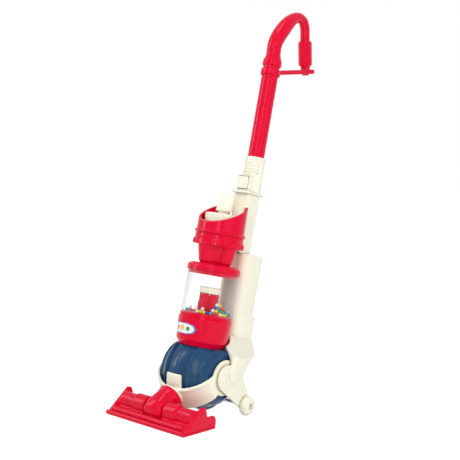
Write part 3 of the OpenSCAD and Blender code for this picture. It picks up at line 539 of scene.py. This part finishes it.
def cyclone_belt(angle, u):
    """Belt radius: a flared lip, an arch over each lobe and gussets between lobes stand on a plain band.

    The arch has a raised border, and the band's top edge is rounded.
    """
    lip_out, lip_top, lip_fade = 1.7, 1.2, 2.4
    arch_out, arch_reach, arch_fade, arch_low = 1.5, 10.6, 1.3, 0.5
    border_out, border_reach, border_half = 0.5, 9.6, 0.8
    rib_out, rib_top, rib_fade, rib_half, rib_pitch = 1.9, 11, 5, 0.032, 0.23
    edge_in, edge_round = 0.9, 1.4
    off = lobe_angle(angle)
    lip = lip_out * (1 - ease((u - BELT_U - lip_top) / lip_fade))
    reach = np.hypot(BELT_R * off, u - BELT_U - arch_low)
    border = border_out * np.exp(-((reach - border_reach) / border_half) ** 2)
    arch = arch_out * ease((arch_reach - reach) / arch_fade) + border
    between = np.pi / 4 - np.abs(off)
    rib = np.maximum(np.exp(-(between / rib_half) ** 2), np.exp(-((between - rib_pitch) / rib_half) ** 2))
    gusset = rib_out * rib * ease((BELT_U + rib_top - u) / rib_fade)
    edge = edge_in * ease((u - BELT_TOP + edge_round) / edge_round) ** 2
    return BELT_R - edge + np.maximum(np.maximum(lip, arch), gusset)


def add_cyclone():
    """Cyclone: one surface of radius against angle and height, core below, belt above, with a slot."""
    angle = full_turn(480)
    low = np.linspace(CYC_U, BELT_U, 34)[:, None]
    high = np.linspace(BELT_U + LEDGE, BELT_TOP, 52)[:, None]
    ledge = cyclone_belt(angle, BELT_U + 0 * angle)[None] - LEDGE
    r = np.concatenate([cyclone_core(angle, low), ledge, cyclone_belt(angle, high)])
    u = np.concatenate([low, [[BELT_U]], high]) + 0 * angle
    x, v = r * np.sin(angle), BIN_V - r * np.cos(angle)
    in_slot = (np.abs(x) < SLOT_HALF) & (u > BELT_U - SLOT_BELOW)
    grid = body_points(x, np.where(in_slot, np.minimum(v, SLOT_V), v), u)
    make_piece("cyclone_body", [grid], FINISH["red_plastic"], "body", ["cyclone"])


def add_deck():
    """Deck in the hood: a superellipse in plan carried upward, its top edge rounded."""
    rise = np.array([206, 224, 230, 233.5, 235.2, 236.3, 236.9, 237.1])[:, None]
    inset = np.array([1.5, 0.6, 0.2, 0.0, 0.1, 0.5, 1.3, 2.6])[:, None]
    half_wide, half_deep, middle_v, power = 26.6, 29.5, -1.5, 2.6
    x, v = rounded_ring(full_turn(96), power)
    grid = body_points((half_wide - inset) * x, middle_v + (half_deep - inset) * v, rise + 0 * x)
    make_piece("hood_deck", [grid], FINISH["ivory_plastic"], "body")


# Height of the bin floor's top, where the column stands.
FLOOR_U = 87.2


def add_column():
    """Fluted column: radius falls into six valleys by a power of one less a cosine's size, with a step."""
    angle = full_turn(180)
    rise = FLOOR_U + np.array([0, 8, 16.4, 17.0, 17.4, 22, 29.2, 30.0])[:, None]
    width = np.array([15.2, 15.2, 15.2, 15.0, 14.5, 14.5, 14.5, 14.0])[:, None]
    depth, power, turn = 3.6, 1.3, math.radians(11)
    r = width - depth * (1 - np.abs(np.cos(3 * (angle - turn)))) ** power
    grid = body_points(r * np.sin(angle), BIN_V - r * np.cos(angle), rise + 0 * angle)
    make_piece("bin_column", [grid], FINISH["red_plastic"], "body", ["column"])


# Neck line of the elbow: its rise from the floor and the elbow's distance from the hub along it.
NECK_RISE, NECK_LENGTH = math.radians(26), 93


def add_elbow():
    """Elbow duct: superellipse sections along the neck line, from a domed front to a round flange and bore.

    A section is its place on the line, half width, half height and power.
    """
    along = np.array([0, math.cos(NECK_RISE), math.sin(NECK_RISE)])
    below = np.array([0, math.sin(NECK_RISE), -math.cos(NECK_RISE)])
    foot = HUB - NECK_LENGTH * along
    dome, power = 19.0, 2.6
    turn = np.linspace(0, np.pi / 2, 26)
    swell = 8 + 9 * np.sin(np.minimum(1.6 * turn, np.pi / 2))
    front = np.stack([-dome * np.cos(turn), swell, dome * np.sin(turn), power + 0 * turn], -1)
    t = np.linspace(0.8, 23.4, 26)
    wide, tall = 17 + 3.3 * ease((t - 13.5) / 8), dome + 1.3 * ease(t / 16)
    tail = np.stack([t, wide, tall, power - 0.6 * ease(t / 18)], -1)
    flange = np.array([[23.8, 20.7, 20.7, 2], [24.3, 21, 21, 2], [26.4, 21, 21, 2], [26.9, 20.6, 20.6, 2],
                       [27, 19.8, 19.8, 2], [27, 14.5, 14.5, 2], [12.4, 14.5, 14.5, 2]])
    t, wide, tall, power = (a[:, None] for a in np.concatenate([front, tail, flange]).T)
    c, q = rounded_ring(full_turn(96), power)
    x, y = wide * c, tall * q
    grid = (foot + x[..., None] * X_AXIS + y[..., None] * below + t[..., None] * along) / 1000
    make_piece("elbow_duct", [grid], FINISH["red_plastic"], "elbow", ["elbow"])


def add_paddle():
    """Release paddle: rounded boxes carried up from a stem, leaning back and narrowing, its top drawn in.

    A row is height, half width, and the front and back in v.
    """
    rows = np.array([[232.7, 8.2, -10.0, -4.0], [233.2, 8.7, -10.2, -3.8], [241.0, 8.7, -10.2, -3.8],
                     [241.7, 11.0, -10.6, -3.4], [241.9, 13.2, -12.4, -2.6], [242.8, 14.0, -12.7, -2.0],
                     [248.0, 13.6, -11.2, -0.9], [254.0, 13.0, -9.4, 0.2], [260.0, 12.2, -7.6, 1.4],
                     [264.5, 11.4, -6.2, 2.3], [267.0, 10.4, -5.2, 2.6], [268.4, 8.8, -4.2, 2.2],
                     [269.0, 6.6, -3.0, 1.4]])
    power = 3.4
    u, wide, low, high = (a[:, None] for a in rows.T)
    c, q = rounded_ring(full_turn(80), power)
    grid = body_points(wide * c, (low + high) / 2 + (high - low) / 2 * q, u + 0 * c)
    make_piece("release_paddle", [grid], FINISH["ivory_plastic"], "release", ["release_button"])


COIL_RADIUS, COIL_WIRE = 2.2, 0.24


def coil(start, axis, turns, length):
    """Coil spring: a round wire whose centre turns about the axis as it rises, ends level with both seats."""
    third = np.cross(axis, X_AXIS)
    t = np.linspace(0, 1, 40 * turns)
    spin = 2 * np.pi * turns * t
    out = np.cos(spin)[:, None] * X_AXIS + np.sin(spin)[:, None] * third
    rise = COIL_WIRE + (length - 2 * COIL_WIRE) * t
    centre = start + COIL_RADIUS * out + rise[:, None] * axis
    a = full_turn(10)
    ring = np.cos(a)[None, :, None] * out[:, None] + np.sin(a)[None, :, None] * axis
    return (centre[:, None] + COIL_WIRE * ring)[:, ::-1] / 1000


def add_springs():
    """Springs under the paddle and behind the latch: coils of steel wire, each given a mesh of its own."""
    seat = HUB - 7 * V_AXIS + 228.1 * U_AXIS
    under = make_piece("release_coil", [coil(seat, U_AXIS, turns=6, length=4.3)], FINISH["steel"], "body",
                       ["release_spring"])
    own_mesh(under)
    seat = HUB + 32.85 * V_AXIS + 292.5 * U_AXIS
    behind = make_piece("latch_coil", [coil(seat, -V_AXIS, turns=5, length=3.3)], FINISH["steel"], "body",
                        ["latch_spring"])
    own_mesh(behind)


def add_shoulder_panels():
    """Raised limbs on the side arms: a flat oval section carried along a bent line, its lower end round."""
    half, power, sunk = 11, 2.6, 1.4
    lower_end = half * (1 - np.cos(np.linspace(0.06, np.pi / 2, 14)))
    t = np.concatenate([lower_end, np.linspace(12, 42, 22)])
    knots = [0, 11, 22, 32, 44]
    v = spline(knots, [10.8, 14.4, 18.6, 24.6, 33.0], t)
    u = spline(knots, [-6.2, 4.2, 14.4, 22.6, 31.4], t)
    along = directions(np.stack([v, u], -1))
    wide = half * np.sqrt(1 - np.clip(1 - t / half, 0, 1) ** 2) * (1 - 0.4 * ease((t - 36) / 8))
    thick = 2.0 * (1 - 0.75 * ease((t - 30) / 12))
    c, q = rounded_ring(full_turn(64), power)
    v = v[:, None] - along[:, 1:] * wide[:, None] * c
    u = u[:, None] + along[:, :1] * wide[:, None] * c
    face = 1000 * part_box("spine_right")[1][0] - sunk
    for name, flip in (("right", 1), ("left", -1)):
        grid = body_points(flip * (face + thick[:, None] * q), v, u)[:, ::flip]
        make_piece("shoulder_panel_" + name, [grid], FINISH["ivory_plastic"], "body")


# Label: its turn and height on the bowl, half its angle and height, its width over height, its rim's start.
LABEL_TURN, LABEL_U = math.radians(-11.5), 62.0
LABEL_HALF_ANGLE, LABEL_HALF_HEIGHT, LABEL_ASPECT = 0.60, 7.8, 3.1
RIM_FROM = 0.88


def label_print():
    """Printed sticker: white ground and three dots on its own UV map, a blue rim by the share of way out."""
    paint, tree, shader = new_paint("label_print")
    shader.inputs["Specular IOR Level"].default_value = 0.3
    place = tree.nodes.new("ShaderNodeUVMap")
    place.uv_map = "label"
    skin = add_skin(tree, place.outputs[0], "Blotch Scale", 6.0)
    gloss = map_range(tree, 0.2, 0.4)
    link_nodes(tree, (skin.outputs["Blotch"], gloss.inputs["Value"]),
               (gloss.outputs[0], shader.inputs["Roughness"]))
    ground = (0.88, 0.88, 0.87)
    spots = [((-1.5, 0.0), 0.42, (0.75, 0.01, 0.02)), ((0.0, 0.1), 0.5, (0.9, 0.55, 0.02)),
             ((1.5, 0.0), 0.42, (0.03, 0.33, 0.06))]
    colour = None
    for centre, radius, ink in spots:
        gap = tree.nodes.new("ShaderNodeVectorMath")
        gap.operation = "DISTANCE"
        gap.inputs[1].default_value = (*centre, 0)
        inside = math_node(tree, "LESS_THAN", radius)
        layer = colour_mix(tree, A=ground, B=ink)
        link_nodes(tree, (place.outputs[0], gap.inputs[0]), (gap.outputs["Value"], inside.inputs[0]),
                   (inside.outputs[0], layer.inputs["Factor"]))
        if colour:
            link_nodes(tree, (colour, layer.inputs["A"]))
        colour = layer.outputs["Result"]
    way_out = tree.nodes.new("ShaderNodeAttribute")
    way_out.attribute_name = "way_out"
    in_rim = math_node(tree, "GREATER_THAN", RIM_FROM)
    border = colour_mix(tree, B=(0.03, 0.2, 0.55))
    link_nodes(tree, (way_out.outputs["Fac"], in_rim.inputs[0]), (in_rim.outputs[0], border.inputs["Factor"]),
               (colour, border.inputs["A"]), (border.outputs["Result"], shader.inputs["Base Color"]))
    return paint


def bowl_radius(u):
    """Radius of the bowl's cone at a height."""
    return 38.6 + 1.9 * (u - 43) / 35.5


def add_label():
    """Sticker: a polar grid on the bowl's cone, out to a scalloped superellipse and back under itself."""
    front, back, power, scallop, scallops = 32, 6, 2.7, 0.05, 10
    rho = np.concatenate([np.linspace(0.02, 1, front), np.linspace(1, 0.02, back)])[:, None]
    lift = np.concatenate([np.full(front, 0.22), np.full(back, -0.3)])[:, None]
    phi = full_turn(144)
    wide, tall = rounded_ring(phi, power)
    reach = 1 + scallop * np.abs(np.cos(scallops / 2 * phi))
    a, b = rho * reach * wide, rho * reach * tall
    angle = LABEL_TURN + LABEL_HALF_ANGLE * a
    u = LABEL_U + LABEL_HALF_HEIGHT * b
    r = bowl_radius(u) + lift
    grid = body_points(r * np.sin(angle), BIN_V - r * np.cos(angle), u)[:, ::-1]
    piece = make_piece("bowl_label", [grid], label_print(), "body")
    mesh = piece.data
    ends = [[0, 0], [0, 0]]
    spot = np.concatenate([np.stack([LABEL_ASPECT * a, b], -1)[:, ::-1].reshape(-1, 2), ends])
    corner = np.empty(len(mesh.loops), int)
    mesh.loops.foreach_get("vertex_index", corner)
    mesh.uv_layers.new(name="label").data.foreach_set("uv", spot[corner].ravel())
    way_out = np.concatenate([(rho + 0 * phi).ravel(), [0, 0]])
    mesh.attributes.new("way_out", "FLOAT", "POINT").data.foreach_set("value", way_out)


add_camera()
add_world()
add_floor()
add_softbox("key", place=(-1.35, -1.14, 1.15), aim=(0, -0.06, 0.35), size=(0.5, 1.7), power=16.5)
add_softbox("front_strip", place=(0.75, -1.5, 0.9), aim=(0, 0, 0.4), size=(0.32, 1.5), power=6.5)
add_softbox("fill", place=(1.7, -0.4, 1.0), aim=(0, -0.05, 0.3), size=(1.4, 1.4), power=21, mirrored=False)
add_softbox("top", place=(0.0, -0.2, 2.0), aim=(0, 0, 0.2), size=(0.5, 0.5), power=5)
bpy.context.scene.view_settings.view_transform = "Standard"
dress_nodes()
for half, passes in (("spine_left", 8), ("spine_right", 8), ("ball_left", 3), ("ball_right", 3)):
    mould(half, passes, seam=SEAM)
for node, passes in (("head_cover", 7), ("head_base", 7), ("yoke", 9), ("arm", 5), ("latch_button", 6)):
    mould(node, passes)
add_cyclone()
add_deck()
add_column()
add_elbow()
add_paddle()
add_springs()
add_shoulder_panels()
add_handle()
add_label()
